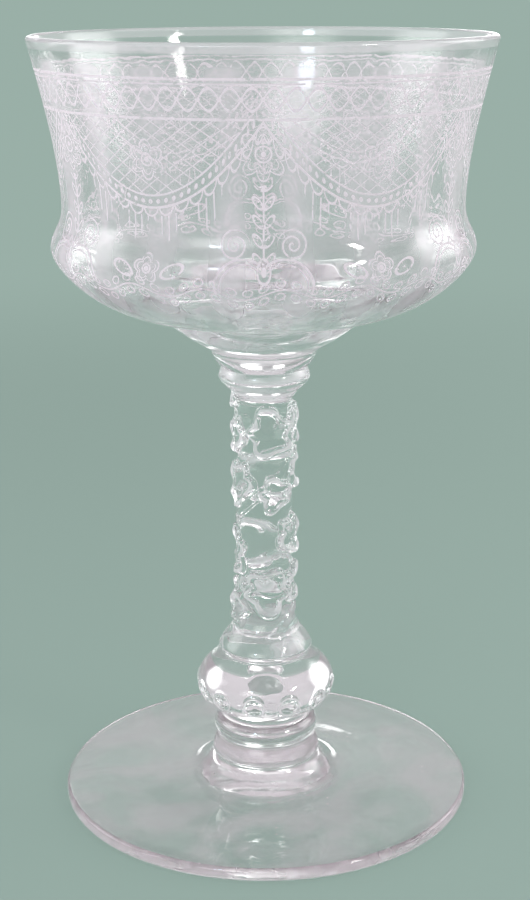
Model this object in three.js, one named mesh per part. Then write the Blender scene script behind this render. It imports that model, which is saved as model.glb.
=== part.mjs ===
// A clear stemmed cocktail glass, standing upright: a blown bowl with a flared rim, a waist and a
// bulge, a merese, a collar, a shaft moulded with a climbing leafy vine, a flattened ball knop with
// a row of round dimples, two stacked rings and a round foot. The pieces are fused where they meet.
// Millimetres, +Z up. The origin is the centre of the underside, on the surface it stands on.
import * as THREE from 'three';

// Height of each piece under the bowl, from the table upwards
const footHeight = 6.9;
const baseRingHeight = 4.4;
const knopRingHeight = 3.9;
const knopHeight = 12.2;
const shaftHeight = 51.0;
const collarHeight = 4.0;
const mereseHeight = 2.9;

// Heights within the bowl, from its seat upwards
const dishHeight = 7.0;           // seat to the step round the small dish
const undersideHeight = 12.0;     // step to the widest place of the bulge
const shoulderHeight = 7.4;       // bulge to the waist
const flareHeight = 28.3;         // waist to the top of the rim

// Radii of the bowl, outside
const seatRadius = 9.4;
const stepRadius = 18.6;
const bulgeRadius = 37.15;
const waistRadius = 35.05;
const rimRadius = 40.0;

// Glass thickness of the bowl
const lipWall = 1.3;
const waistWall = 1.5;
const bulgeWall = 1.9;
const floorThickness = 5.6;       // seat to the inside of the bowl, on the axis

// How far the bowl's curves lean along each stretch, as shares of the stretch
const dishStart = 0.14;
const dishEnd = 0.34;
const undersideReach = 0.6;
const undersideRise = 0.05;
const belowBulge = 0.24;
const aboveBulge = 0.4;
const belowWaist = 0.5;
const aboveWaist = 0.2;
const rimReach = 0.5;
const rimLean = 0.26;             // slope of the wall at the rim, out per up
const insideBelowBulge = 0.45;

// Merese and collar
const mereseEdge = 0.3;           // height of the upright edge under the bowl
const collarTopRadius = 7.65;     // crease between merese and collar
const collarRadius = 8.25;
const collarWidestHeight = 2.2;
const collarSeatRadius = 6.4;

// Shaft: a plain core between a skirt over the knop and a neck under the collar
const coreRadius = 4.95;
const neckLength = 2.6;
const neckRadius = 6.1;
const skirtRadius = 8.75;
const skirtLip = 1.5;             // seat to the widest place of the skirt
const skirtFlare = 7.2;           // height over which the skirt opens
const skirtTopSwell = 0.5;        // how much thicker than the core the skirt starts
const skirtSeatRadius = 7.9;

// Leafy vine in relief on the shaft
const reliefHeight = 1.3;
const vineTurns = 1.6;
const vineWidth = 2.4;
const vineShare = 0.5;            // height of the vine as a share of the relief
const leafSize = 6.0;             // half the length of the largest leaf
const leafLobes = 5;
const leafNotch = 0.2;            // depth between the lobes as a share of half the leaf
const leafShoulder = 0.1;         // how much shorter a leaf is away from its tip
const leafEdge = 1.1;             // width of the slope round a leaf
const reliefFade = 1.2;           // height over which the relief rises at either end

// Each leaf: degrees from the front, share of the shaft's height, degrees of tilt, share of leafSize
const leaves = [
  [12, 0.851, -12, 0.98], [-74, 0.831, 20, 0.70], [128, 0.855, 170, 0.93], [-132, 0.847, 10, 0.87],
  [76, 0.898, 30, 0.60], [-64, 0.665, 172, 0.90], [22, 0.631, 200, 0.77], [92, 0.706, 0, 0.83],
  [164, 0.651, 15, 0.92], [-146, 0.612, 190, 0.80], [-86, 0.392, -6, 1.00], [64, 0.471, 165, 0.83],
  [132, 0.443, 20, 0.87], [-162, 0.396, -12, 0.93], [4, 0.267, 176, 0.98], [84, 0.267, 12, 0.87],
  [-66, 0.184, 150, 0.70], [152, 0.224, 185, 0.87], [-124, 0.204, 20, 0.77], [30, 0.125, 30, 0.53],
  [-24, 0.110, 140, 0.50], [-86, 0.959, 30, 0.40],
];

// Ball knop
const knopRadius = 12.9;
const knopHalfHeight = 7.3;       // of the whole ellipsoid, before its ends are cut flat
const knopTopHeight = 5.7;        // widest place to the upper flat
const dimpleCount = 12;
const dimpleRadius = 2.1;
const dimpleDepth = 0.55;
const dimpleDrop = 0.9;           // below the widest place
const dimplePhase = -10;          // degrees from the front

// Two rings under the knop
const knopRingTopRadius = 7.6;
const knopRingRadius = 9.75;
const knopRingWidestHeight = 1.2;
const ringCreaseRadius = 9.15;
const baseRingRadius = 10.1;
const baseRingWidestHeight = 0.9;
const rootRadius = 9.65;          // where the lower ring meets the foot

// Foot
const footRadius = 38.25;
const footEdgeHeight = 2.4;
const footEdgeRounding = 0.8;
const crownRadius = 15.0;         // where the upper face turns up into the root
const crownHeight = 3.5;
const hollowRadius = 24.0;        // shallow hollow in the middle of the underside
const hollowDepth = 0.8;

// How finely round shapes are cut
const bowlSides = 52;
const smallSides = 40;
const knopSides = 60;
const knopRows = 13;
const shaftSides = 48;
const shaftRows = 48;

const glassLook = { color: 0xe9e7ea, roughness: 0.05, metalness: 0 };
const etchedLook = { color: 0xe4dfe3, roughness: 0.35, metalness: 0 };

const { lerp, degToRad, smoothstep } = THREE.MathUtils;

function at(radius, height) {
  return new THREE.Vector2(radius, height);
}

// 0 at and below zero, 1 at and above one, smooth between
function eased(share) {
  return smoothstep(share, 0, 1);
}

// Points of one cubic curve without its first point, so that curves can follow each other
function curve(start, startHandle, endHandle, end, steps) {
  const bezier = new THREE.CubicBezierCurve(start, startHandle, endHandle, end);
  return bezier.getPoints(steps).slice(1);
}

// A rounded corner from start to end, close to a quarter of an ellipse
function rounding(start, corner, end, steps) {
  const quarterShare = 0.55;
  const startHandle = start.clone().lerp(corner, quarterShare);
  const endHandle = end.clone().lerp(corner, quarterShare);
  return curve(start, startHandle, endHandle, end, steps);
}

// Turns an outline about the upright axis
function turned(outline, sides) {
  const geometry = new THREE.LatheGeometry(outline, sides);
  geometry.rotateX(Math.PI / 2);
  return geometry;
}

// Moves each point of a turned shape outwards by what push(angle, height, radius) returns.
// The angle is counted from the front, towards the right.
function pushedOut(geometry, push) {
  const places = geometry.attributes.position;
  for (let i = 0; i < places.count; i += 1) {
    const x = places.getX(i);
    const y = places.getY(i);
    const radius = Math.hypot(x, y);
    if (radius > 0.001) {
      const scale = 1 + push(Math.atan2(x, -y), places.getZ(i), radius) / radius;
      places.setX(i, x * scale);
      places.setY(i, y * scale);
    }
  }
  return geometry;
}

// Shortest signed turn from one angle to another
function turnBetween(from, to) {
  const turn = to - from;
  return turn - 2 * Math.PI * Math.round(turn / (2 * Math.PI));
}

// The places that the bowl's inner and outer curves run between
function bowlPlaces() {
  const seat = at(seatRadius, 0);
  const step = at(stepRadius, dishHeight);
  const bulge = at(bulgeRadius, step.y + undersideHeight);
  const waist = at(waistRadius, bulge.y + shoulderHeight);
  const lip = at(rimRadius, waist.y + flareHeight - lipWall / 2);
  return { seat, step, bulge, waist, lip };
}

function bowlOutside({ seat, step, bulge, waist, lip }) {
  const dishHandle = at(lerp(seat.x, step.x, 0.03), dishHeight * dishStart);
  const stepHandle = at(lerp(seat.x, step.x, 0.5), dishHeight * dishEnd);
  const underside = step.y + undersideHeight * undersideRise;
  const undersideHandle = at(lerp(step.x, bulge.x, undersideReach), underside);
  const bulgeHandle = at(bulge.x, bulge.y - undersideHeight * belowBulge);
  return [
    seat,
    ...curve(seat, dishHandle, stepHandle, step, 5),
    ...curve(step, undersideHandle, bulgeHandle, bulge, 8),
    ...curve(
      bulge,
      at(bulge.x, bulge.y + shoulderHeight * aboveBulge),
      at(waist.x, waist.y - shoulderHeight * belowWaist),
      waist,
      6,
    ),
    ...curve(
      waist,
      at(waist.x, waist.y + flareHeight * aboveWaist),
      at(lip.x - rimLean * rimReach * flareHeight, lip.y - rimReach * flareHeight),
      lip,
      7,
    ),
  ];
}

function bowlInside(places) {
  const lip = at(places.lip.x - lipWall, places.lip.y);
  const waist = at(places.waist.x - waistWall, places.waist.y);
  const bulge = at(places.bulge.x - bulgeWall, places.bulge.y);
  const floor = at(0, floorThickness);
  const bulgeHandle = at(bulge.x, bulge.y - undersideHeight * insideBelowBulge);
  return [
    lip,
    ...curve(
      lip,
      at(lip.x - rimLean * rimReach * flareHeight, lip.y - rimReach * flareHeight),
      at(waist.x, waist.y + flareHeight * aboveWaist),
      waist,
      6,
    ),
    ...curve(
      waist,
      at(waist.x, waist.y - shoulderHeight * belowWaist),
      at(bulge.x, bulge.y + shoulderHeight * aboveBulge),
      bulge,
      5,
    ),
    ...curve(bulge, bulgeHandle, at(stepRadius, floor.y), floor, 8),
  ];
}

function bowl() {
  const places = bowlPlaces();
  const { lip } = places;
  const inside = bowlInside(places);
  const top = at(lip.x - lipWall / 2, lip.y + lipWall / 2);
  const outerHalf = rounding(lip, at(lip.x, top.y), top, 2);
  const innerHalf = rounding(top, at(inside[0].x, top.y), inside[0], 2).slice(0, -1);
  return turned([at(0, 0), ...bowlOutside(places), ...outerHalf, ...innerHalf, ...inside], bowlSides);
}

function merese() {
  const bottom = at(collarTopRadius, 0);
  const edge = at(seatRadius, mereseHeight - mereseEdge);
  const lowHandle = at(lerp(bottom.x, edge.x, 0.4), edge.y * 0.27);
  const highHandle = at(lerp(bottom.x, edge.x, 0.8), edge.y * 0.6);
  const swell = curve(bottom, lowHandle, highHandle, edge, 4);
  const top = at(seatRadius, mereseHeight);
  return turned([at(0, 0), bottom, ...swell, top, at(0, mereseHeight)], smallSides);
}

function collar() {
  const bottom = at(collarSeatRadius, 0);
  const widest = at(collarRadius, collarWidestHeight);
  const top = at(collarTopRadius, collarHeight);
  const upperHeight = top.y - widest.y;
  const lower = curve(
    bottom,
    at(lerp(bottom.x, widest.x, 0.38), widest.y * 0.32),
    at(lerp(bottom.x, widest.x, 0.95), widest.y * 0.68),
    widest,
    4,
  );
  const upper = curve(
    widest,
    at(widest.x, widest.y + upperHeight * 0.4),
    at(lerp(top.x, widest.x, 0.5), top.y - upperHeight * 0.28),
    top,
    3,
  );
  return turned([at(0, 0), bottom, ...lower, ...upper, at(0, collarHeight)], smallSides);
}

// The plain shaft without its relief, as an outline from the bottom up
function shaftOutline() {
  const lip = at(skirtRadius, skirtLip);
  const skirtTop = at(coreRadius + skirtTopSwell, skirtLip + skirtFlare);
  const flare = curve(
    lip,
    at(lerp(skirtTop.x, lip.x, 0.75), lip.y + skirtFlare * 0.35),
    at(skirtTop.x, skirtTop.y - skirtFlare * 0.5),
    skirtTop,
    6,
  );
  const neckStart = at(coreRadius, shaftHeight - neckLength);
  const core = [];
  for (let row = 1; row <= shaftRows; row += 1) {
    const height = lerp(skirtTop.y, neckStart.y, row / shaftRows);
    const settled = eased((height - skirtTop.y) / (skirtFlare * 0.5));
    core.push(at(lerp(skirtTop.x, coreRadius, settled), height));
  }
  const top = at(neckRadius, shaftHeight);
  const neck = curve(
    neckStart,
    at(coreRadius, neckStart.y + neckLength * 0.45),
    at(lerp(coreRadius, top.x, 0.8), top.y - neckLength * 0.4),
    top,
    4,
  );
  return [at(0, 0), at(skirtSeatRadius, 0), lip, ...flare, ...core, ...neck, at(0, shaftHeight)];
}

// Relief of one lobed leaf, 0 to 1, at a place given along and across its axis from its middle
function leafRelief(along, across, size) {
  const turn = Math.atan2(across, along);
  const lobe = leafNotch * (0.5 - 0.5 * Math.cos(turn * leafLobes));
  const shoulder = leafShoulder * (1 - Math.max(Math.cos(turn), 0) ** 4);
  return eased((size * (1 - lobe - shoulder) - Math.hypot(along, across)) / leafEdge);
}

// Relief of the whole vine, in mm, at an angle and a height on the shaft
function vineRelief(angle, height) {
  const bottom = skirtLip + skirtFlare * 0.3;
  const top = shaftHeight - neckLength * 0.1;
  const climbed = (height - bottom) / (top - bottom);
  const aside = Math.abs(turnBetween(climbed * vineTurns * 2 * Math.PI, angle)) * coreRadius;
  let relief = vineShare * eased((vineWidth / 2 - aside) / leafEdge + 0.5);
  for (const [leafAngle, heightShare, leafTilt, sizeShare] of leaves) {
    const tilt = degToRad(leafTilt);
    const side = turnBetween(degToRad(leafAngle), angle) * (coreRadius + reliefHeight / 2);
    const rise = height - heightShare * shaftHeight;
    const along = rise * Math.cos(tilt) + side * Math.sin(tilt);
    const across = side * Math.cos(tilt) - rise * Math.sin(tilt);
    relief = Math.max(relief, leafRelief(along, across, sizeShare * leafSize));
  }
  const fade = eased((height - bottom) / reliefFade) * eased((top - height) / reliefFade);
  return reliefHeight * relief * fade;
}

function shaft() {
  return pushedOut(turned(shaftOutline(), shaftSides), vineRelief);
}

// The ball, cut flat at both ends, with its row of dimples
function knop() {
  const widest = knopHeight - knopTopHeight;
  const firstTurn = Math.asin(-widest / knopHalfHeight);
  const lastTurn = Math.asin(knopTopHeight / knopHalfHeight);
  const outline = [at(0, 0)];
  for (let row = 0; row <= knopRows; row += 1) {
    const turn = lerp(firstTurn, lastTurn, row / knopRows);
    outline.push(at(knopRadius * Math.cos(turn), widest + knopHalfHeight * Math.sin(turn)));
  }
  outline.push(at(0, knopHeight));
  const spacing = (2 * Math.PI) / dimpleCount;
  return pushedOut(turned(outline, knopSides), (angle, height, radius) => {
    const fromFirst = angle - degToRad(dimplePhase);
    const aside = (fromFirst - spacing * Math.round(fromFirst / spacing)) * radius;
    const below = height - (widest - dimpleDrop);
    const share = Math.min(Math.hypot(aside, below) / dimpleRadius, 1);
    return -dimpleDepth * (1 - share ** 2);
  });
}

function knopRing() {
  const widest = at(knopRingRadius, knopRingWidestHeight);
  const bottom = at(ringCreaseRadius, 0);
  const top = at(knopRingTopRadius, knopRingHeight);
  const lower = rounding(bottom, at(widest.x, 0), widest, 3);
  const upper = rounding(widest, at(widest.x, top.y), top, 4);
  return turned([at(0, 0), bottom, ...lower, ...upper, at(0, knopRingHeight)], smallSides);
}

function baseRing() {
  const widest = at(baseRingRadius, baseRingWidestHeight);
  const bottom = at(rootRadius, 0);
  const top = at(ringCreaseRadius, baseRingHeight);
  const upperHeight = top.y - widest.y;
  const lower = rounding(bottom, at(widest.x, 0), widest, 3);
  const upper = curve(
    widest,
    at(widest.x, widest.y + upperHeight * 0.36),
    at(lerp(top.x, widest.x, 0.26), top.y - upperHeight * 0.32),
    top,
    4,
  );
  return turned([at(0, 0), bottom, ...lower, ...upper, at(0, baseRingHeight)], smallSides);
}

function footUnderside() {
  const top = at(0, hollowDepth);
  const rim = at(hollowRadius, 0);
  const outwards = at(hollowRadius * 0.5, hollowDepth);
  const downwards = at(hollowRadius * 0.8, hollowDepth * 0.4);
  return [top, ...curve(top, outwards, downwards, rim, 5)];
}

function footEdge() {
  const inner = footRadius - footEdgeRounding;
  const lowStart = at(inner, 0);
  const lowEnd = at(footRadius, footEdgeRounding);
  const highStart = at(footRadius, footEdgeHeight - footEdgeRounding);
  const highEnd = at(inner, footEdgeHeight);
  return [
    lowStart,
    ...rounding(lowStart, at(footRadius, 0), lowEnd, 3),
    highStart,
    ...rounding(highStart, at(footRadius, footEdgeHeight), highEnd, 3),
  ];
}

function footTop(edgeEnd) {
  const crown = at(crownRadius, crownHeight);
  const root = at(rootRadius, footHeight);
  const faceRise = crown.y - edgeEnd.y;
  const rootRise = root.y - crown.y;
  return [
    ...curve(
      edgeEnd,
      at(lerp(crown.x, edgeEnd.x, 0.6), edgeEnd.y + faceRise * 0.35),
      at(lerp(crown.x, edgeEnd.x, 0.22), crown.y - faceRise * 0.27),
      crown,
      3,
    ),
    ...curve(
      crown,
      at(lerp(crown.x, root.x, 0.47), crown.y + rootRise * 0.08),
      at(lerp(root.x, crown.x, 0.1), root.y - rootRise * 0.47),
      root,
      5,
    ),
  ];
}

function foot() {
  const edge = footEdge();
  const top = footTop(edge[edge.length - 1]);
  return turned([...footUnderside(), ...edge, ...top, at(0, footHeight)], bowlSides);
}

// The pieces from the table upwards, each standing on the one before
const pieces = [
  { name: 'foot', height: footHeight, shape: foot, look: glassLook },
  { name: 'base_ring', height: baseRingHeight, shape: baseRing, look: glassLook },
  { name: 'knop_ring', height: knopRingHeight, shape: knopRing, look: glassLook },
  { name: 'ball_knop', height: knopHeight, shape: knop, look: glassLook },
  { name: 'stem_shaft', height: shaftHeight, shape: shaft, look: glassLook },
  { name: 'stem_collar', height: collarHeight, shape: collar, look: glassLook },
  { name: 'bowl_merese', height: mereseHeight, shape: merese, look: glassLook },
  { name: 'bowl', height: 0, shape: bowl, look: etchedLook },
];

const cocktailGlass = new THREE.Group();
let base = 0;
for (const { name, height, shape, look } of pieces) {
  const mesh = new THREE.Mesh(shape(), new THREE.MeshStandardMaterial(look));
  mesh.name = name;
  mesh.position.z = base;
  cocktailGlass.add(mesh);
  base += height;
}

export default cocktailGlass;
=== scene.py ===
# A clear cocktail glass with an etched bowl and a leafy moulded stem, on a plain pale floor
import math
import bpy
from mathutils import Euler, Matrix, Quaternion, Vector


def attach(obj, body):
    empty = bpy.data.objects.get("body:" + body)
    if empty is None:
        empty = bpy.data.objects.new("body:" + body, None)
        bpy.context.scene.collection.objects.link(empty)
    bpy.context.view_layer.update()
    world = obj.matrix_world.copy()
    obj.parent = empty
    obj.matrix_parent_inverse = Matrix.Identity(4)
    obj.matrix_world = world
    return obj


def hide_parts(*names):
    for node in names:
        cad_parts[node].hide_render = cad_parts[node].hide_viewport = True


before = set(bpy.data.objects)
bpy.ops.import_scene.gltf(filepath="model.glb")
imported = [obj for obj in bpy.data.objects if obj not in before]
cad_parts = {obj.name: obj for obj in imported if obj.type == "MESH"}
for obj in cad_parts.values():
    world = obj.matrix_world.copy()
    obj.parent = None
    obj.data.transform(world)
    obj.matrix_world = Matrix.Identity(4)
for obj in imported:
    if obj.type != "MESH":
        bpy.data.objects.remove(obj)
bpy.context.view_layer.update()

mm = 0.001
fullTurn = 2 * math.pi
quarterPull = 0.55  # how far the handles of a quarter round reach to its corner
joinDistance = 0.002  # mm within which the points of an outline become one
seamLimits = {"off": 0.02, "level": 0.99}  # mm from a fused round, and how level its faces are


# Outlines, as (radius, height) in mm, and the pieces turned from them

def between(first, last, share):
    return first + (last - first) * share


def eased(share):
    share = min(max(share, 0), 1)
    return share * share * (3 - 2 * share)


def cubic(start, startHandle, endHandle, end, steps):  # a cubic curve, without its first point
    points = []
    for step in range(1, steps + 1):
        t = step / steps
        shares = ((1 - t) ** 3, 3 * (1 - t) ** 2 * t, 3 * (1 - t) * t * t, t ** 3)
        corners = (start, startHandle, endHandle, end)
        points.append(tuple(sum(s * c[i] for s, c in zip(shares, corners)) for i in (0, 1)))
    return points


def bent(start, end, bend, steps):  # bend: how far out and up each handle is on the way from start to end
    handles = [tuple(between(start[i], end[i], share[i]) for i in (0, 1)) for share in bend]
    return cubic(start, *handles, end, steps)


def straight(start, end, steps):  # a straight run, without its first point
    return [tuple(between(start[i], end[i], step / steps) for i in (0, 1)) for step in range(1, steps + 1)]


def rounding(start, corner, end, steps):  # close to a quarter of an ellipse
    handles = [tuple(between(p[i], corner[i], quarterPull) for i in (0, 1)) for p in (start, end)]
    return cubic(start, *handles, end, steps)


def turned(name, outline, base, sides):  # the outline's heights count from the piece's own base
    bpy.ops.object.select_all(action="DESELECT")
    radius, height = outline[0]
    bpy.ops.mesh.primitive_plane_add(size=mm, location=(radius * mm, 0, (base + height) * mm))
    piece = bpy.context.object
    piece.name = piece.data.name = name
    bpy.ops.object.transform_apply(location=True, rotation=True, scale=True)
    bpy.ops.object.mode_set(mode="EDIT")
    bpy.ops.mesh.select_all(action="SELECT")
    bpy.ops.mesh.merge(type="CENTER")
    for (r0, z0), (r1, z1) in zip(outline, outline[1:]):
        move = ((r1 - r0) * mm, 0, (z1 - z0) * mm)
        bpy.ops.mesh.extrude_vertices_move(TRANSFORM_OT_translate={"value": move})
    bpy.ops.mesh.select_all(action="SELECT")
    bpy.ops.mesh.spin(steps=sides, angle=fullTurn, center=(0, 0, 0), axis=(0, 0, 1))
    bpy.ops.mesh.select_all(action="SELECT")
    bpy.ops.mesh.remove_doubles(threshold=joinDistance * mm)
    bpy.ops.mesh.normals_make_consistent(inside=False)
    bpy.ops.object.mode_set(mode="OBJECT")
    return piece


def raised(piece, height, amount):  # pushes the surface along its normals, by height times amount
    group = piece.vertex_groups.new(name="relief")
    for vertex in piece.data.vertices:
        x, y, z = (value / mm for value in vertex.co)
        outward = vertex.normal.x * x + vertex.normal.y * y
        weight = amount(math.atan2(x, -y), z, math.hypot(x, y), outward)
        if weight > 0.001:
            group.add([vertex.index], min(weight, 1), "REPLACE")
    push = piece.modifiers.new("relief", "DISPLACE")
    push.strength, push.mid_level, push.vertex_group = height * mm, 0, group.name
    bpy.context.view_layer.objects.active = piece
    bpy.ops.object.modifier_apply(modifier=push.name)
    piece.vertex_groups.clear()


def seamAt(levels):  # levels: height in mm and radius in mm of each fused round
    def choose(face):
        x, y, z = (value / mm for value in face.center)
        for level, radius in levels:
            near = abs(z - level) < seamLimits["off"] and math.hypot(x, y) < radius
            if near and abs(face.normal.z) > seamLimits["level"]:
                return 1
        return 0
    return choose


def finished(piece, node, looks, choose, crease=38):  # choose gives the number of a face's look
    for look in looks:
        piece.data.materials.append(look)
    for face in piece.data.polygons:
        face.material_index = choose(face)
    bpy.ops.object.select_all(action="DESELECT")
    piece.select_set(True)
    bpy.context.view_layer.objects.active = piece
    bpy.ops.object.shade_smooth_by_angle(angle=math.radians(crease))
    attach(piece, "root")
    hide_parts(node)
    print("made", piece.name, len(piece.data.polygons), "faces")


# Looks

class Wire:  # one value or colour inside a look; sums and products add Math nodes
    def __init__(self, look, socket):
        self.look, self.socket = look, socket

    def math(self, operation, *others):
        return self.look.add("Math", {"operation": operation}, [self, *others])

    def __add__(self, other):
        return self.math("ADD", other)

    def __sub__(self, other):
        return self.math("SUBTRACT", other)

    def __rsub__(self, other):
        return self.look.add("Math", {"operation": "SUBTRACT"}, [other, self])

    def __mul__(self, other):
        return self.math("MULTIPLY", other)

    def __truediv__(self, other):
        return self.math("DIVIDE", other)

    def __abs__(self):
        return self.math("ABSOLUTE")

    __radd__ = __add__
    __rmul__ = __mul__

    def ramp(self, low, high):  # 0 below low, 1 above high, smooth between
        values = {"Value": self, "From Min": low, "From Max": high}
        return self.look.add("MapRange", {"interpolation_type": "SMOOTHSTEP"}, values)

    def within(self, low, high):  # 1 below low, 0 above high
        return 1 - self.ramp(low, high)

    def above(self, limit, soft=0.1):
        return (self - limit).ramp(0, soft)

    def below(self, limit, soft=0.1):
        return (limit - self).ramp(0, soft)

    def stroke(self, width, soft=0.06):  # 1 on a line where this value is near zero
        return abs(self).within(width / 2 - soft, width / 2 + soft)

    def repeat(self, length):  # distance from the nearest of places set a length apart
        return (self / length + 0.5).math("FRACT") * length - length / 2

    def most(self, *others):
        result = self
        for other in others:
            result = result.math("MAXIMUM", other)
        return result


class Look:  # a material and its nodes
    def __init__(self, name=None, tree=None):
        if name:
            self.material = bpy.data.materials.new(name)
            self.material.use_nodes = True
            tree = self.material.node_tree
        self.tree = tree
        self.tree.nodes.clear()

    def add(self, kind, settings=None, values=None, out=0):
        node = self.tree.nodes.new("ShaderNode" + kind)
        for key, value in (settings or {}).items():
            setattr(node, key, value)
        pairs = values.items() if isinstance(values, dict) else enumerate(values or [])
        for key, value in pairs:
            if isinstance(value, Wire):
                self.tree.links.new(value.socket, node.inputs[key])
            else:
                node.inputs[key].default_value = value
        return Wire(self, node.outputs[out])

    def parts(self, vector):  # the three numbers of a vector
        first = self.add("SeparateXYZ", values=[vector])
        outputs = first.socket.node.outputs
        return first, Wire(self, outputs[1]), Wire(self, outputs[2])

    def angle(self, across, along):
        return self.add("Math", {"operation": "ARCTAN2"}, [across, along])

    def blend(self, share, first, second):  # of two colours
        values = {"Factor": share, "A": first, "B": second}
        return self.add("Mix", {"data_type": "RGBA"}, values, out=2)

    def end(self, shader, kind="Material"):
        output = self.tree.nodes.new("ShaderNodeOutput" + kind)
        self.tree.links.new(shader.socket, output.inputs["Surface"])


def reach(across, up):  # distance from a place
    return (across * across + up * up).math("SQRT")


def patches(look, place, perMetre, detail, start, full, distortion=0.0):  # uneven rounds, 0 to 1
    values = {"Vector": place, "Scale": perMetre, "Detail": detail, "Distortion": distortion}
    return look.add("TexNoise", values=values).ramp(start, full)


glassLook = {
    "tint": (0.985, 0.98, 0.983, 1), "bend": 1.5, "shade": (0.92, 0.925, 0.925, 1),
    "ripple": 0.04, "rippleSize": 0.006, "rippleDetail": 2.0, "rippleHeight": 0.25,
    "smudge": 0.04, "smudges": (90.0, 3.0, 0.45, 0.75),
    "sheen": 0.08, "bowlSheen": 0.35, "sheenRough": 0.35, "sheenTint": (1.0, 0.95, 0.99, 1),
}
frostLook = {"rough": 0.6, "bend": 1.45, "through": 0.5}
# painted reflection: colour, patches and strength of a thin milky film on the clear glass; the colour is also
# that of the painted highlights
paintedReflectionLook = {"colour": (0.95, 0.9, 0.94, 1), "patches": (1 / 0.014, 4.0, 0.45, 0.8, 1.2), "strength": 0.07}


def letLampsThrough(look, shader, shade):  # lamps reach through glass instead of around it
    path = look.add("LightPath")
    outputs = path.socket.node.outputs
    through = look.add("BsdfTransparent", values=[shade])
    for ray in ("Is Shadow Ray", "Is Diffuse Ray"):
        shader = look.add("MixShader", values=[Wire(look, outputs[ray]), shader, through])
    return shader


def glassShader(look, place, ripple, rippleSize, sheen):
    s = glassLook
    waves = {"Vector": place, "Scale": 1 / rippleSize, "Detail": s["rippleDetail"]}
    uneven = look.add("TexNoise", values=waves)
    bump = {"Strength": ripple, "Distance": rippleSize * s["rippleHeight"], "Height": uneven}
    return look.add("BsdfPrincipled", values={
        "Base Color": s["tint"], "Roughness": patches(look, place, *s["smudges"]) * s["smudge"],
        "IOR": s["bend"], "Transmission Weight": 1.0, "Normal": look.add("Bump", values=bump),
        "Sheen Weight": sheen, "Sheen Roughness": s["sheenRough"], "Sheen Tint": s["sheenTint"],
    })


def frostShader(look, colour):  # white where glass is matt: half thrown back, half let through
    s = frostLook
    matt = {"Base Color": colour, "Roughness": s["rough"], "IOR": s["bend"]}
    front = look.add("BsdfPrincipled", values=matt)
    back = look.add("BsdfTranslucent", values={"Color": colour})
    return look.add("MixShader", values=[s["through"], front, back])


def paintedReflectionMask(look, place):  # a thin uneven milky film: painted reflection, standing in for cloudy reflections on the glass
    return patches(look, place, *paintedReflectionLook["patches"]) * paintedReflectionLook["strength"]


def glass(name, mask, colour=paintedReflectionLook["colour"], ripple=None, rippleSize=None, sheen=None):
    s = glassLook
    look = Look(name)
    place = look.add("TexCoord", out="Object")
    ripple, rippleSize = ripple or s["ripple"], rippleSize or s["rippleSize"]
    plain = glassShader(look, place, ripple, rippleSize, sheen or s["sheen"])
    # the mask says where the white frost shows: the etched lace, and on the other pieces painted highlights
    # and painted reflections
    shader = look.add("MixShader", values=[mask(look, place), plain, frostShader(look, colour)])
    look.end(letLampsThrough(look, shader, s["shade"]))
    return look.material


def seamGlass():  # no wall inside fused glass
    look = Look("fusedSeam")
    look.end(look.add("BsdfTransparent", values=[(1, 1, 1, 1)]))
    return look.material


# The foot

footSizes = {
    "height": 6.9, "radius": 38.25, "edgeHeight": 2.4, "edgeRounding": 0.8, "crownRadius": 15.0,
    "crownHeight": 3.5, "hollowRadius": 24.0, "hollowDepth": 0.8, "rootRadius": 9.65, "sides": 256,
    "hollowBend": ((0.5, 0), (0.8, 0.6)), "faceBend": ((0.4, 0.35), (0.78, 0.73)),
    "rootBend": ((0.47, 0.08), (0.9, 0.53)),
}
footFilm = {  # lengths in metres
    "colour": (0.86, 0.72, 0.79, 1), "film": 0.27, "patches": (50.0, 5.0, 0.35, 0.65, 1.5),
    "rootRadius": 0.0136, "rootWidth": 0.0034, "rootFront": (-0.1, 0.5), "paintedGlow": 0.34,
    "rootPatches": (60.0, 2.0, 0.3, 0.7), "rootLeast": 0.3, "edge": (0.0372, 0.0376), "edgeHighlight": 0.1,
    "seedSpace": 0.019, "seedSize": 0.00022, "seedSoft": 0.6, "seedStrength": 0.7,
}


def footMask(look, place):  # a cloudy film as painted reflection, a painted glow before the root on its front side, a pale edge as painted highlight on the rim, and a few bubbles
    s = footFilm
    x, y, z = look.parts(place)
    away = reach(x, y)
    # painted glow: a pale ring round the root, on its front half only
    glow = abs(away - s["rootRadius"]).within(0, s["rootWidth"])
    glow = glow * between(s["rootLeast"], 1, patches(look, place, *s["rootPatches"]))
    glow = glow * (y / away * -1.0).ramp(*s["rootFront"])
    flat = look.add("CombineXYZ", values=[x, y, 0.0])
    spots = {"Vector": flat, "Scale": 1 / s["seedSpace"]}
    seeds = look.add("TexVoronoi", {"voronoi_dimensions": "2D"}, spots) * s["seedSpace"]
    seeds = seeds.within(s["seedSize"] * s["seedSoft"], s["seedSize"]) * s["seedStrength"]
    film = patches(look, place, *s["patches"]) * s["film"]
    return film.most(glow * s["paintedGlow"], away.ramp(*s["edge"]) * s["edgeHighlight"], seeds)


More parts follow.
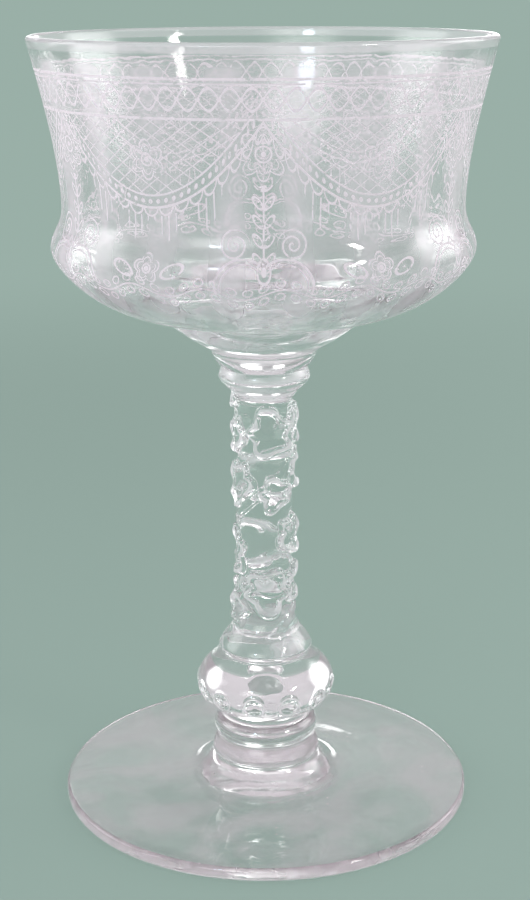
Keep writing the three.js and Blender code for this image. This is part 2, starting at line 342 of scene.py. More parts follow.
def makeFoot():
    s = footSizes
    hollowTop, hollowEnd = (0, s["hollowDepth"]), (s["hollowRadius"], 0)
    restEnd, topRim = (s["radius"] - s["edgeRounding"], 0), (s["radius"] - s["edgeRounding"], s["edgeHeight"])
    edgeLow, edgeHigh = (s["radius"], s["edgeRounding"]), (s["radius"], s["edgeHeight"] - s["edgeRounding"])
    crown, root = (s["crownRadius"], s["crownHeight"]), (s["rootRadius"], s["height"])
    outline = [hollowTop, *bent(hollowTop, hollowEnd, s["hollowBend"], steps=20)]
    outline += straight(hollowEnd, restEnd, steps=3)
    outline += rounding(restEnd, (s["radius"], 0), edgeLow, steps=8)
    outline += straight(edgeLow, edgeHigh, steps=2)
    outline += rounding(edgeHigh, (s["radius"], s["edgeHeight"]), topRim, steps=8)
    outline += bent(topRim, crown, s["faceBend"], steps=24)
    outline += [*bent(crown, root, s["rootBend"], steps=24), (0, s["height"])]
    piece = turned("roundFoot", outline, 0, s["sides"])
    finished(piece, "foot", [footClear, seam], seamAt([(s["height"], s["rootRadius"])]))
    return s["height"]


# The two rings

baseRingSizes = {
    "height": 4.4, "radius": 10.1, "widestHeight": 0.9, "topRadius": 9.15, "sides": 160,
    "topBend": ((0, 0.36), (0.74, 0.68)),
}
knopRingSizes = {"height": 3.9, "radius": 9.75, "widestHeight": 1.2, "topRadius": 7.6, "sides": 160}


def makeBaseRing(base):
    s = baseRingSizes
    bottom, widest = (footSizes["rootRadius"], 0), (s["radius"], s["widestHeight"])
    top = (s["topRadius"], s["height"])
    outline = [(0, 0), bottom, *rounding(bottom, (s["radius"], 0), widest, steps=12)]
    outline += [*bent(widest, top, s["topBend"], steps=20), (0, s["height"])]
    piece = turned("lowerRing", outline, base, s["sides"])
    levels = [(base, bottom[0]), (base + s["height"], s["topRadius"])]
    finished(piece, "base_ring", [clear, seam], seamAt(levels))
    return base + s["height"]


def makeKnopRing(base):
    s = knopRingSizes
    bottom, widest = (baseRingSizes["topRadius"], 0), (s["radius"], s["widestHeight"])
    top, knopSeat = (s["topRadius"], s["height"]), knopEnd(knopSizes["topHeight"] - knopSizes["height"])
    outline = [(0, 0), bottom, *rounding(bottom, (s["radius"], 0), widest, steps=14)]
    outline += rounding(widest, (s["radius"], s["height"]), top, steps=20)
    outline += [(knopSeat, s["height"]), (0, s["height"])]
    piece = turned("upperRing", outline, base, s["sides"])
    levels = [(base, bottom[0]), (base + s["height"], knopSeat)]
    finished(piece, "knop_ring", [clear, seam], seamAt(levels))
    return base + s["height"]


# The ball knop

knopSizes = {
    "height": 12.2, "radius": 12.9, "halfHeight": 7.3, "topHeight": 5.7, "rows": 96, "sides": 360,
    "dimples": 12, "dimpleRadius": 1.85, "dimpleDepth": 0.95, "dimpleDrop": 1.0, "dimplePhase": -10,
    "rimWidth": 0.7, "rimHeight": 0.16, "crease": 60,
}
knopFilm = {  # the height of the dimples over the table, and other lengths, in mm
    "height": 20.7, "rimWidth": 0.5, "rimSoft": 0.2, "rimHighlight": 0.45,
    "band": (2.0, 3.6), "patches": (140.0, 3.0, 0.3, 0.7), "least": 0.3, "film": 0.12,
}


def knopEnd(height):  # radius of the ball at a height over its widest place
    return knopSizes["radius"] * math.sqrt(1 - (height / knopSizes["halfHeight"]) ** 2)


def dimpleMask(look, place):  # painted reflection film, paler rims round the dimples as painted highlights, and a painted highlight band between them
    s, f = knopSizes, knopFilm
    x, y, z = look.parts(place)
    turn = look.angle(x, y * -1.0) - math.radians(s["dimplePhase"])
    across = turn.repeat(fullTurn / s["dimples"]) * s["radius"]
    up = z * (1 / mm) - f["height"]
    rim = (reach(across, up) - s["dimpleRadius"]).stroke(f["rimWidth"], f["rimSoft"])
    film = abs(up).within(*f["band"]) * between(f["least"], 1, patches(look, place, *f["patches"]))
    return paintedReflectionMask(look, place).most(rim * f["rimHighlight"], film * f["film"])


def makeKnop(base):
    s = knopSizes
    widest = s["height"] - s["topHeight"]
    firstTurn, lastTurn = math.asin(-widest / s["halfHeight"]), math.asin(s["topHeight"] / s["halfHeight"])
    outline = [(0, 0)]
    for row in range(s["rows"] + 1):
        turn = between(firstTurn, lastTurn, row / s["rows"])
        outline.append((s["radius"] * math.cos(turn), widest + s["halfHeight"] * math.sin(turn)))
    outline += [(shaftSizes["skirtSeat"], s["height"]), (0, s["height"])]
    piece = turned("ballKnop", outline, base, s["sides"])
    spacing = fullTurn / s["dimples"]

    def fromDimple(angle, z, radius):
        away = angle - math.radians(s["dimplePhase"])
        aside = (away - spacing * round(away / spacing)) * radius
        return math.hypot(aside, z - base - widest + s["dimpleDrop"])

    def rim(angle, z, radius, outward):
        return 1 - eased(abs(fromDimple(angle, z, radius) - s["dimpleRadius"]) / s["rimWidth"])

    def dimple(angle, z, radius, outward):
        return 1 - min(fromDimple(angle, z, radius) / s["dimpleRadius"], 1) ** 2

    raised(piece, s["rimHeight"], rim)
    raised(piece, -s["dimpleDepth"], dimple)
    levels = [(base, knopEnd(-widest)), (base + s["height"], shaftSizes["skirtSeat"])]
    finished(piece, "ball_knop", [dimpled, seam], seamAt(levels), s["crease"])
    return base + s["height"]


# The shaft with its vine and leaves

shaftSizes = {
    "height": 51.0, "core": 4.95, "neckLength": 2.6, "neckRadius": 6.1, "skirtRadius": 8.75,
    "skirtLip": 1.5, "skirtFlare": 7.2, "skirtTopSwell": 0.5, "skirtSettle": 0.5, "skirtSeat": 7.9,
    "rows": 220, "sides": 200, "crease": 75,
    "skirtBend": ((0.25, 0.35), (1, 0.5)), "neckBend": ((0, 0.45), (0.8, 0.6)),
}
vineSizes = {
    "relief": 1.4, "turns": 1.6, "width": 2.2, "share": 0.4, "soft": 0.6, "startShare": 0.3, "endShare": 0.1,
    "fadeBottom": 5.0, "fadeTop": 1.2, "swellTurn": 1.5, "swellBend": 2, "swellWaves": 3, "swellShift": 0.7,
    "swellLow": 0.66,
}
leafSizes = {
    "edge": 0.95, "rim": 1.0, "face": 0.45, "notch": 0.2, "shoulder": 0.1, "shoulderPower": 4,
    "lobes": 5, "uneven": 0.9, "unevenTurns": 2, "unevenBySize": 9,
    "places": [  # degrees from the front, height in mm up the shaft, degrees of tilt, half its length in mm
        (12, 43.4, -12, 5.9), (-74, 42.4, 20, 4.2), (128, 43.6, 170, 5.6), (-132, 43.2, 10, 5.2),
        (76, 45.8, 30, 3.6), (-64, 33.9, 172, 5.4), (22, 32.2, 200, 4.6), (92, 36, 0, 5),
        (164, 33.2, 15, 5.5), (-146, 31.2, 190, 4.8), (-86, 20, -6, 6), (64, 24, 165, 5),
        (132, 22.6, 20, 5.2), (-162, 20.2, -12, 5.6), (4, 13.6, 176, 5.9), (84, 13.6, 12, 5.2),
        (-66, 9.4, 150, 4.2), (152, 11.4, 185, 5.2), (-124, 10.4, 20, 4.6), (-86, 48.9, 30, 2.4),
    ],
}
shaftFilm = {  # lengths in metres
    "rippleDepth": 0.1, "rippleSize": 0.004,
    "ridge": (0.0057, 0.006), "ridgeRise": 0.002, "ridgeHighlight": 0.6,
    "skirtTop": 0.036, "skirtFall": 0.004, "patches": (160.0, 2.0, 0.3, 0.65), "skirtStrength": 0.2,
}


def ridgeMask(look, place):  # painted reflection film, paler ridges round the leaves as painted highlights, and a thin film on the skirt
    s = shaftFilm
    x, y, z = look.parts(place)
    ridge = reach(x, y).ramp(*s["ridge"]) * z.above(s["skirtTop"], s["ridgeRise"])
    skirt = z.below(s["skirtTop"], s["skirtFall"]) * patches(look, place, *s["patches"])
    return paintedReflectionMask(look, place).most(ridge * s["ridgeHighlight"], skirt * s["skirtStrength"])


def turnBetween(start, end):
    turn = end - start
    return turn - fullTurn * round(turn / fullTurn)


def leafRelief(across, along, size):  # a lobed leaf with a raised rim
    s = leafSizes
    away, turn = math.hypot(across, along), math.atan2(across, along)
    uneven = s["uneven"] * math.sin(turn * s["unevenTurns"] + size * s["unevenBySize"])
    lobe = s["notch"] * (0.5 - 0.5 * math.cos(turn * s["lobes"] + uneven))
    shoulder = s["shoulder"] * (1 - max(math.cos(turn), 0) ** s["shoulderPower"])
    inside = size * (1 - lobe - shoulder) - away
    if inside <= 0:
        return 0
    rim = 1 - eased(abs(inside - s["edge"]) / s["rim"])
    return eased(inside / s["edge"]) * between(s["face"], 1, rim)


def vineRelief(base):  # the vine winds up between the skirt and the neck, and the leaves lie over it
    s, v = shaftSizes, vineSizes
    bottom = base + s["skirtLip"] + s["skirtFlare"] * v["startShare"]
    top = base + s["height"] - s["neckLength"] * v["endShare"]

    def relief(angle, z, radius, outward):
        if z <= bottom or z >= top:
            return 0
        climbed = (z - bottom) / (top - bottom)
        aside = abs(turnBetween(climbed * v["turns"] * fullTurn, angle)) * s["core"]
        height = v["share"] * eased((v["width"] / 2 - aside) / v["soft"] + 0.5)
        for turn, middle, tilt, size in leafSizes["places"]:
            side = turnBetween(math.radians(turn), angle) * (s["core"] + v["relief"] / 2)
            rise = z - base - middle
            if abs(side) > size or abs(rise) > size:
                continue
            tilt = math.radians(tilt)
            along = rise * math.cos(tilt) + side * math.sin(tilt)
            across = side * math.cos(tilt) - rise * math.sin(tilt)
            height = max(height, leafRelief(across, along, size))
        bend = v["swellBend"] * math.sin(angle * v["swellWaves"] + v["swellShift"])
        swell = 0.5 + 0.5 * math.sin(z * v["swellTurn"] + bend)
        height *= between(v["swellLow"], 1, swell)
        return height * eased((z - bottom) / v["fadeBottom"]) * eased((top - z) / v["fadeTop"])
    return relief


def makeShaft(base):
    s = shaftSizes
    seat, lip = (s["skirtSeat"], 0), (s["skirtRadius"], s["skirtLip"])
    skirtTop = (s["core"] + s["skirtTopSwell"], s["skirtLip"] + s["skirtFlare"])
    neckStart, neckTop = (s["core"], s["height"] - s["neckLength"]), (s["neckRadius"], s["height"])
    outline = [(0, 0), seat, *straight(seat, lip, steps=4), *bent(lip, skirtTop, s["skirtBend"], steps=30)]
    for row in range(1, s["rows"] + 1):
        height = between(skirtTop[1], neckStart[1], row / s["rows"])
        settled = eased((height - skirtTop[1]) / (s["skirtFlare"] * s["skirtSettle"]))
        outline.append((between(skirtTop[0], s["core"], settled), height))
    outline += [*bent(neckStart, neckTop, s["neckBend"], steps=16), (0, s["height"])]
    piece = turned("leafyShaft", outline, base, s["sides"])
    raised(piece, vineSizes["relief"], vineRelief(base))
    levels = [(base, s["skirtSeat"]), (base + s["height"], s["neckRadius"])]
    finished(piece, "stem_shaft", [moulded, seam], seamAt(levels), s["crease"])
    return base + s["height"]


# The collar and the merese under the bowl

collarSizes = {
    "height": 4.0, "seat": 6.4, "radius": 8.25, "widestHeight": 2.2, "topRadius": 7.65, "sides": 160,
    "lowerBend": ((0.38, 0.32), (0.95, 0.68)), "upperBend": ((0, 0.4), (0.5, 0.72)),
}
mereseSizes = {"height": 2.9, "edge": 0.3, "sides": 160, "bend": ((0.4, 0.27), (0.8, 0.6))}
bandHighlightLook = {"squeeze": 6, "patches": (110.0, 3.0, 0.4, 0.6), "strength": 0.36}


def bandHighlightMask(look, place):  # a milky film in uneven flat rounds: painted highlight on the collar and the merese
    s = bandHighlightLook
    x, y, z = look.parts(place)
    squeezed = look.add("CombineXYZ", values=[x, y, z * s["squeeze"]])
    return patches(look, squeezed, *s["patches"]) * s["strength"]


def makeCollar(base):
    s = collarSizes
    bottom, widest, top = (s["seat"], 0), (s["radius"], s["widestHeight"]), (s["topRadius"], s["height"])
    outline = [(0, 0), (shaftSizes["neckRadius"], 0), bottom]
    outline += bent(bottom, widest, s["lowerBend"], steps=16)
    outline += [*bent(widest, top, s["upperBend"], steps=14), (0, s["height"])]
    piece = turned("roundCollar", outline, base, s["sides"])
    levels = [(base, shaftSizes["neckRadius"]), (base + s["height"], s["topRadius"])]
    finished(piece, "stem_collar", [banded, seam], seamAt(levels))
    return base + s["height"]


def makeMerese(base):
    s = mereseSizes
    seat = bowlSizes["seat"]
    bottom, edge = (collarSizes["topRadius"], 0), (seat, s["height"] - s["edge"])
    outline = [(0, 0), bottom, *bent(bottom, edge, s["bend"], steps=16)]
    outline += [(seat, s["height"]), (0, s["height"])]
    piece = turned("thinMerese", outline, base, s["sides"])
    levels = [(base, bottom[0]), (base + s["height"], seat)]
    finished(piece, "bowl_merese", [banded, seam], seamAt(levels))
    return base + s["height"]


# The bowl

bowlSizes = {
    "seat": 9.4, "dish": 7.0, "underside": 12.0, "shoulder": 7.4, "flare": 28.3, "step": 18.6,
    "bulge": 37.15, "waist": 35.05, "rim": 40.0, "lipWall": 1.3, "waistWall": 1.5, "bulgeWall": 1.9,
    "floor": 5.6, "rimLean": 0.26, "leanShare": 0.5, "waistPull": 0.2, "floorPull": 0.45, "sides": 320,
    "dishBend": ((0.03, 0.14), (0.5, 0.34)), "undersideBend": ((0.6, 0.05), (1, 0.76)),
    "shoulderBend": ((0, 0.4), (1, 0.5)), "innerShoulderBend": ((0, 0.5), (1, 0.6)),
    "lobes": 20, "lobeDepth": 0.16, "lobeStart": 8, "lobeUpper": 0.45, "lobeRise": 12, "lobeTop": 44.0,
    "lobeFade": 20, "etchStart": 2,
}
lipHighlightLook = {"heights": (0.1382, 0.1385), "strength": 0.35}  # heights in metres


def lipHighlightMask(look, place):  # painted reflection film, and a paler lip as a painted highlight on the rim
    x, y, z = look.parts(place)
    return paintedReflectionMask(look, place).most(z.ramp(*lipHighlightLook["heights"]) * lipHighlightLook["strength"])


def makeBowl(base):
    s = bowlSizes
    seat, step = (s["seat"], 0), (s["step"], s["dish"])
    bulge = (s["bulge"], step[1] + s["underside"])
    waist = (s["waist"], bulge[1] + s["shoulder"])
    lip = (s["rim"], waist[1] + s["flare"] - s["lipWall"] / 2)
    lipTop = (lip[0] - s["lipWall"] / 2, lip[1] + s["lipWall"] / 2)
    lipIn, waistIn = (lip[0] - s["lipWall"], lip[1]), (waist[0] - s["waistWall"], waist[1])
    bulgeIn, floor = (bulge[0] - s["bulgeWall"], bulge[1]), (0, s["floor"])
    rise = s["flare"] * s["leanShare"]
    lean, pull = s["rimLean"] * rise, s["flare"] * s["waistPull"]
    outline = [(0, 0), seat, *bent(seat, step, s["dishBend"], steps=24)]
    outline += bent(step, bulge, s["undersideBend"], steps=40)
    outline += bent(bulge, waist, s["shoulderBend"], steps=20)
    outline += cubic(waist, (waist[0], waist[1] + pull), (lip[0] - lean, lip[1] - rise), lip, steps=40)
    outline += rounding(lip, (lip[0], lipTop[1]), lipTop, steps=8)
    outline += rounding(lipTop, (lipIn[0], lipTop[1]), lipIn, steps=8)
    waistPull = (waistIn[0], waistIn[1] + pull)
    outline += cubic(lipIn, (lipIn[0] - lean, lipIn[1] - rise), waistPull, waistIn, steps=36)
    outline += bent(waistIn, bulgeIn, s["innerShoulderBend"], steps=20)
    bulgePull = (bulgeIn[0], bulgeIn[1] - s["underside"] * s["floorPull"])
    outline += cubic(bulgeIn, bulgePull, (s["step"], s["floor"]), floor, steps=48)
    piece = turned("blownBowl", outline, base, s["sides"])

    def lobed(angle, z, radius, outward):  # soft upright lobes inside, strongest at the bulge
        if outward > 0 or radius < s["step"]:
            return 0
        up = z - base
        fall = eased((radius - s["step"]) / s["lobeStart"])
        fall *= between(1, s["lobeUpper"], eased((up - bulge[1]) / s["lobeRise"]))
        return (0.5 + 0.5 * math.cos(angle * s["lobes"])) * fall * eased((s["lobeTop"] - up) / s["lobeFade"])

    raised(piece, s["lobeDepth"], lobed)

    def choose(face):
        x, y, z = (value / mm for value in face.center)
        if face.normal.z < -seamLimits["level"] and z < base + seamLimits["off"]:
            return 2
        outside = face.normal.x * x + face.normal.y * y > 0
        return 0 if outside and base + s["etchStart"] < z < base + lip[1] else 1

    finished(piece, "bowl", [etched, lipClear, seam], choose)


# The etched lace on the bowl: swags of net under a frieze, flowers, leaf chains, volutes and a garland

lace = {  # in mm round the bowl and up from its seat
    "swags": 6, "radius": 36.0, "seat": 85.3, "colour": (0.98, 0.86, 0.94, 1), "strength": 0.97,
    "wear": (700.0, 2.0, 0.2, 0.45), "crisp": 0.05, "softFill": 0.1, "softStart": 0.2,
    # ground
    "driftScale": 0.16, "driftDetail": 4.0, "drift": 46,
    "waveSpeed": 7.5, "waveEdge": (0.1, 0.9), "waves": 0.52,
    "dotScale": 1.7, "dotScatter": 0.9, "dotSize": (0.2, 0.42), "dots": 0.6, "haze": 0.26,
    # frieze
    "top": 49.4, "friezeBottom": 43.4, "friezeMargin": 1.3, "friezeOver": 0.6, "secondRail": 0.75,
    "crossings": 36.0, "waveSoft": 0.1, "eyeSize": (0.3, 0.5),
    # swags
    "swagHigh": 43.0, "swagLow": 29.5, "edgeTop": 43.4, "upperLine": 1.9,
    "beadPitch": 1.45, "beadHeight": 0.95, "beadSize": (0.32, 0.46), "picotPitch": 2.9, "picotRadius": 1.3,
    "netStart": 1.8, "netPitch": 2.2, "netSlant": 0.7, "net": 0.85, "netGround": 0.6,
    # fringe
    "fringePitch": 1.3, "fringeStart": 1.2, "fringeLength": 3.2, "fringeSwing": 2.0, "fringeSpeed": 0.9,
    "fringeEnd": 0.3, "fringeReach": 0.68,
    # flowers: height, radius and petals of each
    "flower": (38.2, 4.1, 8), "innerFlower": (37.0, 3.1, 6), "sprig": (20.2, 2.3, 5),
    "petalNotch": 0.66, "petalInner": 0.74, "heartRadius": 0.3, "heartDot": (0.35, 0.55),
    "sprigLeafAside": 4.46, "sprigLeafDrop": 0.2, "sprigLeafLong": 0.55, "sprigLeafSlant": 0.35,
    "sprigLeafRadius": 1.0, "sprigLeafDots": (0.75, 0.9),
    # chain of paired leaves
    "chainTop": 33.6, "chainBottom": 22.0, "chainFade": 0.2,
    "huskPitch": 2.9, "huskAside": 0.9, "huskLean": (0.8, 0.6), "huskWide": 0.3, "huskLong": 1.6,
    "huskEdge": 0.9, "huskPen": 0.46, "huskPenSoft": 0.1, "huskDots": (0.7, 0.9),
    "dropBelow": 1.7, "dropShape": (1.3, 0.7), "dropRadius": 1.3, "dropDot": (0.5, 0.7),
    # volutes
    "voluteHeight": 24.2, "voluteAside": 4.6, "voluteRadius": 2.5, "volutePitch": 1.05,
    "armAside": 3.2, "armBelow": 6.4, "armRadius": 4.4, "armInner": 3.6, "armStart": 0.4, "armTop": 1.9,
    # garland
    "garlandHeight": 16.6, "garlandSwing": 0.9, "garlandWaves": 18, "garlandLeaves": 90, "garlandWide": 2.1,
    "pairAside": 1.1, "pairShape": (1.2, 0.95), "pairRadius": 0.7, "pairDots": (0.4, 0.7),
    # painted highlight low on the bowl, and a milky film as painted reflection
    "lowerHighlight": 5.5, "highlightStart": 24.6, "highlightFade": 10, "film": 0.46, "filmBand": 0.75, "filmTop": 52.5,
    "filmTopFade": 2, "filmBottom": 7.0, "filmBottomFade": 8, "filmPatches": (55.0, 3.0, 0.25, 0.7),
}
pens = {  # widths of lines in mm
    "heavy": 0.544, "bold": 0.442, "firm": 0.408, "plain": 0.34,
    "light": 0.306, "fine": 0.272, "faint": 0.238,
}


def groundMasks(look, around, height):  # fine drifting lines over a haze, and stipple
    s = lace
    flat = look.add("CombineXYZ", values=[around, height, 0.0])
    drift = {"Vector": flat, "Scale": s["driftScale"], "Detail": s["driftDetail"]}
    phase = look.add("TexNoise", values=drift) * s["drift"] + height * s["waveSpeed"]
    dots = {"Vector": flat, "Scale": s["dotScale"], "Randomness": s["dotScatter"]}
    stipple = look.add("TexVoronoi", {"feature": "F1"}, dots).within(*s["dotSize"])
    waves = phase.math("SINE").ramp(*s["waveEdge"])
    return (waves * s["waves"]).most(stipple * s["dots"], s["haze"]), stipple


def swagPlace(aside, height, cell):  # hanging edge: a parabola from each high point to each low point
    s = lace
    fromLow = 1 - abs(aside) * (2 / cell)
    drop = s["swagHigh"] - s["swagLow"]
    steep = 4 * drop / cell
    slope = (fromLow * steep * fromLow * steep + 1).math("SQRT")
    overEdge = (height - s["swagLow"] - fromLow * fromLow * drop) / slope
    alongEdge = fromLow * steep * slope + (fromLow * steep + slope).math("LOGARITHM", math.e)
    return fromLow, overEdge, alongEdge * (cell / 4 / steep)


def beadedEdge(overEdge, alongEdge, height):
    s = lace
    beads = reach(alongEdge.repeat(s["beadPitch"]), overEdge - s["beadHeight"]).within(*s["beadSize"])
    picots = (reach(alongEdge.repeat(s["picotPitch"]), overEdge) - s["picotRadius"]).stroke(pens["plain"])
    picots = picots * overEdge.within(-s["crisp"], s["crisp"])
    upper = (overEdge - s["upperLine"]).stroke(pens["plain"])
    return overEdge.stroke(pens["firm"]).most(upper, beads, picots) * height.below(s["edgeTop"])


def friezeLines(turn, around, height):  # rails, and two crossing waves with an eye in each gap
    s = lace
    up = height - (s["top"] + s["friezeBottom"]) / 2
    swing = (s["top"] - s["friezeBottom"]) / 2 - s["friezeMargin"]
    wave = (turn * s["crossings"]).math("SINE") * swing
    waves = [part.stroke(pens["heavy"], s["waveSoft"]) for part in (up - wave, up + wave)]
    eyes = reach(around.repeat(fullTurn * s["radius"] / (2 * s["crossings"])), up).within(*s["eyeSize"])
    inner = waves[0].most(waves[1], eyes) * abs(up).math("LESS_THAN", swing + s["friezeOver"])
    topRail = (height - s["top"]).stroke(pens["bold"])
    secondRail = (height - s["top"] + s["secondRail"]).stroke(pens["fine"])
    return inner.most(topRail, secondRail, (height - s["friezeBottom"]).stroke(pens["bold"]))


def diamondNet(around, height):
    s = lace
    slant = around * s["netSlant"]
    rising, falling = (slant + height).repeat(s["netPitch"]), (slant - height).repeat(s["netPitch"])
    return rising.stroke(pens["light"]).most(falling.stroke(pens["light"]))


def fringeLines(aside, fromLow, overEdge):
    s = lace
    below = 0 - overEdge
    length = s["fringeLength"] + s["fringeSwing"] * (abs(aside) * s["fringeSpeed"]).math("SINE")
    threads = aside.repeat(s["fringePitch"]).stroke(pens["fine"])
    threads = threads * below.above(s["fringeStart"], s["softStart"])
    threads = threads * (below - length).within(0, s["fringeEnd"])
    return threads * fromLow.math("LESS_THAN", s["fringeReach"])


def flowerMasks(look, across, height, flower):  # lines of a flower, and its petals as a filled shape
    s = lace
    middle, radius, petals = flower
    up = height - middle
    away = reach(across, up)
    petal = abs((look.angle(across, up) * (petals / 2)).math("COSINE"))
    edge = radius * between(s["petalNotch"], 1, petal)
    inner, heart = away - edge * s["petalInner"], away - radius * s["heartRadius"]
    lines = (away - edge).stroke(pens["plain"]).most(
        inner.stroke(pens["faint"]), heart.stroke(pens["plain"]), away.within(*s["heartDot"]))
    return lines, (away - edge).within(-s["softFill"], s["softFill"])


def sprigLeaves(inner, height, stipple):  # one leaf at each side of the low flower
    s = lace
    aside = abs(inner) - s["sprigLeafAside"]
    up = height - s["sprig"][0] + s["sprigLeafDrop"] - aside * s["sprigLeafSlant"]
    away = reach(aside * s["sprigLeafLong"], up)
    dots = away.within(*s["sprigLeafDots"]) * stipple
    return (away - s["sprigLeafRadius"]).stroke(pens["plain"]).most(dots)


def leafChain(aside, height, stipple):  # paired leaves on a stem, with a drop at its end
    s = lace
    husk, side = (height - s["chainTop"]).repeat(s["huskPitch"]), abs(aside) - s["huskAside"]
    cosine, sine = s["huskLean"]
    lean, rest = side * cosine - husk * sine, side * sine + husk * cosine
    leaf = ((lean * lean) / s["huskWide"] + (rest * rest) / s["huskLong"]).math("SQRT")
    chain = (leaf - s["huskEdge"]).stroke(s["huskPen"], s["huskPenSoft"]).most(
        aside.stroke(pens["plain"]), leaf.within(*s["huskDots"]) * stipple)
    chain = chain * height.below(s["chainTop"], s["chainFade"])
    chain = chain * height.above(s["chainBottom"], s["chainFade"])
    wide, tall = s["dropShape"]
    drop = reach(aside * wide, (height - s["chainBottom"] + s["dropBelow"]) * tall)
    return chain.most((drop - s["dropRadius"]).stroke(pens["firm"]), drop.within(*s["dropDot"]))


def volutes(look, aside, height):  # a curl at each side of the chain, on an arm from below
    s = lace
    across, up = abs(aside) - s["voluteAside"], height - s["voluteHeight"]
    away, pitch = reach(across, up), s["volutePitch"]
    curl = (away - look.angle(up, across) * (pitch / fullTurn)).repeat(pitch).stroke(pens["plain"])
    curl = curl * (away - s["voluteRadius"]).within(-s["crisp"], s["crisp"])
    fromArm = reach(abs(aside) - s["armAside"], up + s["armBelow"])
    arm = (fromArm - s["armRadius"]).stroke(pens["bold"]).most((fromArm - s["armInner"]).stroke(pens["fine"]))
    arm = arm * abs(aside).above(s["armStart"]) * up.math("LESS_THAN", -s["armTop"])
    return curl.most(arm * height.above(s["garlandHeight"]))


def garlandLines(turn, around, height, stipple):  # a wavy stem with paired leaves round the bulge
    s = lace
    stem = height - s["garlandHeight"] - s["garlandSwing"] * (turn * s["garlandWaves"]).math("SINE")
    tall, wide = s["pairShape"]
    along = around.repeat(fullTurn * s["radius"] / s["garlandLeaves"])
    leaf = reach((abs(stem) - s["pairAside"]) * tall, along * wide)
    lines = stem.stroke(pens["plain"]).most(
        (leaf - s["pairRadius"]).stroke(pens["light"]), leaf.within(*s["pairDots"]) * stipple)
    return lines * abs(stem).math("LESS_THAN", s["garlandWide"])


def milkyReflection(look, place, turn, height):  # painted reflection: a milky film over the bowl standing in for the walls' reflections, thicker between the upright lobes
    s = lace
    band = (turn * bowlSizes["lobes"]).math("COSINE") * 0.5 + 0.5
    cloud = between(0.5, 1, patches(look, place, *s["filmPatches"]))
    film = (1 - band * s["filmBand"]) * cloud * s["film"] * height.below(s["filmTop"], s["filmTopFade"])
    return film * height.above(s["filmBottom"], s["filmBottomFade"])


def etchMask(look, place):
    s = lace
    x, y, z = look.parts(place)
    height = z * (1 / mm) - s["seat"]
    turn = look.angle(x, y * -1.0)
    around, cell = turn * s["radius"], fullTurn * s["radius"] / s["swags"]
    aside = around.repeat(cell)  # from the place where two swags meet
    inner = (around + cell / 2).repeat(cell)  # from the middle of a swag
    ground, stipple = groundMasks(look, around, height)
    fromLow, overEdge, alongEdge = swagPlace(aside, height, cell)
    flowers = ((aside, s["flower"]), (inner, s["innerFlower"]), (inner, s["sprig"]))
    lines, fills = zip(*(flowerMasks(look, across, height, flower) for across, flower in flowers))
    fill = fills[0].most(*fills[1:])
    inFrieze = height.below(s["top"]) * height.above(s["friezeBottom"])
    inSwag = overEdge.above(s["netStart"], s["softStart"]) * height.below(s["friezeBottom"])
    net = (diamondNet(around, height) * s["net"]).most(ground * s["netGround"])
    drawn = beadedEdge(overEdge, alongEdge, height).most(
        friezeLines(turn, around, height), *lines, sprigLeaves(inner, height, stipple),
        leafChain(aside, height, stipple), volutes(look, aside, height),
        fringeLines(aside, fromLow, overEdge), garlandLines(turn, around, height, stipple),
        ground * inFrieze, net * inSwag * (1 - fill), fill * ground)
    lowHighlight = between(1, s["lowerHighlight"], height.below(s["highlightStart"], s["highlightFade"]))
    worn = patches(look, place, *s["wear"]) * s["strength"]
    # the etched lines, worn in patches, under a painted highlight low on the bowl and a painted milky
    # reflection
    return (drawn * worn).most(paintedReflectionMask(look, place) * lowHighlight, milkyReflection(look, place, turn, height))


# Materials and pieces, from the table up

clear = glass("clearGlass", paintedReflectionMask)
footClear = glass("footGlass", footMask, colour=footFilm["colour"])
lipClear = glass("lipGlass", lipHighlightMask)
moulded = glass("mouldedGlass", ridgeMask,
                ripple=shaftFilm["rippleDepth"], rippleSize=shaftFilm["rippleSize"])
dimpled = glass("dimpledGlass", dimpleMask)
banded = glass("bandedGlass", bandHighlightMask)
etched = glass("etchedGlass", etchMask, colour=lace["colour"], sheen=glassLook["bowlSheen"])
seam = seamGlass()
print("materials ready")

level = makeFoot()
for makePiece in (makeBaseRing, makeKnopRing, makeKnop, makeShaft, makeCollar, makeMerese):
    level = makePiece(level)
makeBowl(level)


# Camera, floor and light

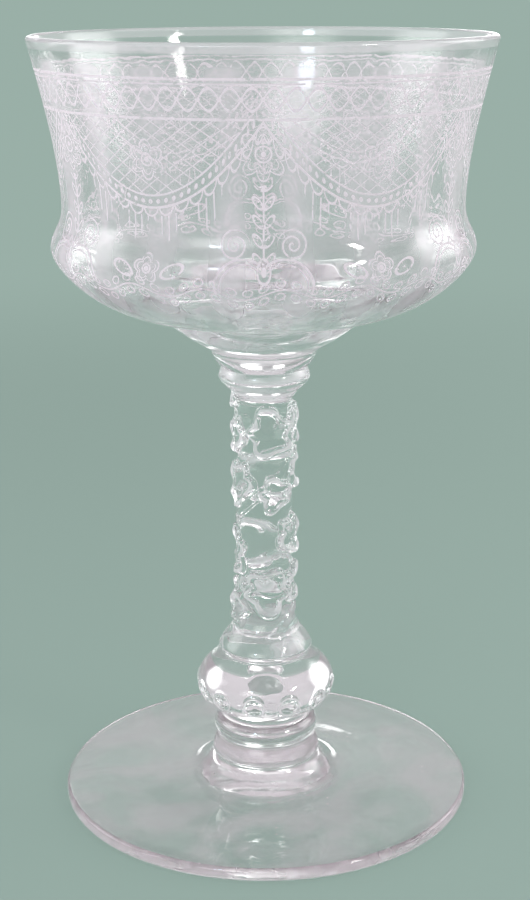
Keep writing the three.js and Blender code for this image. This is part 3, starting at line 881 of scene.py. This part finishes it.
camera = {
    "place": (0, -0.2892, 0.149567), "down": 17.05, "roll": -0.25, "sensor": 36, "lens": 65.92,
    "shift": (0.00026, 0.033), "clip": (0.01, 20),
}
studio = {  # pale: floor and all below the horizon; light: what falls on matt surfaces; far: what is seen
    "pale": (0.30, 0.40, 0.36, 1), "room": (0.39, 0.365, 0.385, 1), "high": (0.64, 0.61, 0.64, 1),
    "roomRise": (0.03, 0.2), "highRise": (0.35, 0.8), "light": 0.46, "far": 1.08,
    "floorRadius": 4.0, "floorDrop": 0.0002, "floorSides": 96, "floorFade": (0.2, 0.6),
}
lamps = [  # name, place, aim, width, height, degrees of roll, brightness, share that fades, colour
    ("keyLamp", (0.61, -0.46, 0.5), (0, 0, 0.1), 0.08, 0.23, -45, 60.0, 0.5, (1, 0.98, 0.95)),
    ("coolLamp", (-0.3, -0.6, 0.42), (0, 0, 0.1), 0.1, 0.08, 0, 36.0, 0.5, (0.72, 0.84, 1)),
    ("leftPanel", (-0.65, 0.1, 0.3), (0, 0, 0.1), 0.6, 0.56, 0, 3.6, 0.7, (1, 1, 1)),
    ("rightPanel", (0.6, 0.22, 0.3), (0, 0, 0.1), 0.6, 0.56, 0, 5.0, 0.7, (1, 1, 1)),
    ("backPanel", (0.0, 1.1, 0.5), (0, 0, 0.05), 1.6, 0.5, 0, 0.6, 0.95, (1, 1, 1)),
    ("frontPanel", (-0.4, -1.0, 0.45), (0, 0, 0.1), 1.1, 0.7, 0, 4.8, 0.8, (1, 1, 1)),
    ("lowPanel", (0.19, 1.08, 0.255), (0, 0, 0.1), 0.38, 0.2, 0, 13.0, 1.0, (1, 1, 1)),
    ("lowLamp", (-0.21, 1.08, 0.25), (0, 0, 0.1), 0.22, 0.18, 0, 6.5, 1.0, (1, 1, 1)),
]
bounces = {
    "max_bounces": 24, "transmission_bounces": 24, "glossy_bounces": 12, "transparent_max_bounces": 32,
}


def makeCamera():
    s = camera
    bpy.ops.object.camera_add(location=s["place"])
    eye = bpy.context.object
    eye.name = "photoCamera"
    eye.rotation_mode = "QUATERNION"
    tilt = Euler((math.radians(90 - s["down"]), 0, 0)).to_quaternion()
    eye.rotation_quaternion = tilt @ Quaternion((0, 0, 1), math.radians(s["roll"]))
    eye.data.sensor_width, eye.data.lens = s["sensor"], s["lens"]
    eye.data.shift_x, eye.data.shift_y = s["shift"]
    eye.data.clip_start, eye.data.clip_end = s["clip"]
    bpy.context.scene.camera = eye


def makeFloor():  # it takes light near the glass and glows evenly far from it, so no horizon shows
    s = studio
    bpy.ops.mesh.primitive_circle_add(vertices=s["floorSides"], radius=s["floorRadius"], fill_type="NGON",
                                      location=(0, 0, -s["floorDrop"]))
    floor = bpy.context.object
    floor.name = "paleFloor"
    bpy.ops.object.transform_apply(location=True, rotation=True, scale=True)
    look = Look("paleFloor")
    x, y, z = look.parts(look.add("TexCoord", out="Object"))
    near = look.add("BsdfDiffuse", values=[s["pale"]])
    glow = look.add("Emission", values=[s["pale"], s["far"]])
    look.end(look.add("MixShader", values=[reach(x, y).ramp(*s["floorFade"]), near, glow]))
    floor.data.materials.append(look.material)


def makeLamps():
    for name, place, aim, width, height, roll, bright, fade, colour in lamps:
        bpy.ops.object.light_add(type="AREA", location=place)
        lamp = bpy.context.object
        lamp.name = name
        lamp.data.shape, lamp.data.size, lamp.data.size_y = "RECTANGLE", width, height
        lamp.data.energy = bright * math.pi * width * height
        toAim = Vector([a - p for a, p in zip(aim, place)])
        lamp.rotation_mode = "QUATERNION"
        lamp.rotation_quaternion = toAim.to_track_quat("-Z", "Y") @ Quaternion((0, 0, 1), math.radians(roll))
        lamp.visible_camera = False
        lamp.data.use_nodes = True
        look = Look(tree=lamp.data.node_tree)
        u, v, w = look.parts(look.add("NewGeometry", out="Parametric"))
        soft = (0.5 - abs(u - 0.5)).ramp(0, fade / 2) * (0.5 - abs(v - 0.5)).ramp(0, fade / 2)
        look.end(look.add("Emission", values={"Color": (*colour, 1), "Strength": soft}), "Light")


def makeWorld():  # what the glass mirrors and bends, and a plain light for the rest
    s = studio
    world = bpy.data.worlds.new("studio")
    bpy.context.scene.world = world
    world.use_nodes = True
    look = Look(tree=world.node_tree)
    x, y, z = look.parts(look.add("TexCoord", out="Generated"))
    room = look.blend(z.ramp(*s["roomRise"]), s["pale"], s["room"])
    seen = look.add("Background", values=[look.blend(z.ramp(*s["highRise"]), room, s["high"]), s["far"]])
    lit = look.add("Background", values=[(1, 1, 1, 1), s["light"]])
    path = look.add("LightPath").socket.node.outputs
    rays = [Wire(look, path[ray]) for ray in ("Is Camera Ray", "Is Glossy Ray", "Is Transmission Ray")]
    look.end(look.add("MixShader", values=[rays[0].most(*rays[1:]), lit, seen]), "World")


makeCamera()
makeFloor()
makeLamps()
makeWorld()
bpy.context.scene.view_settings.view_transform = "Standard"
for setting, count in bounces.items():
    setattr(bpy.context.scene.cycles, setting, count)
print("camera, floor and light ready")
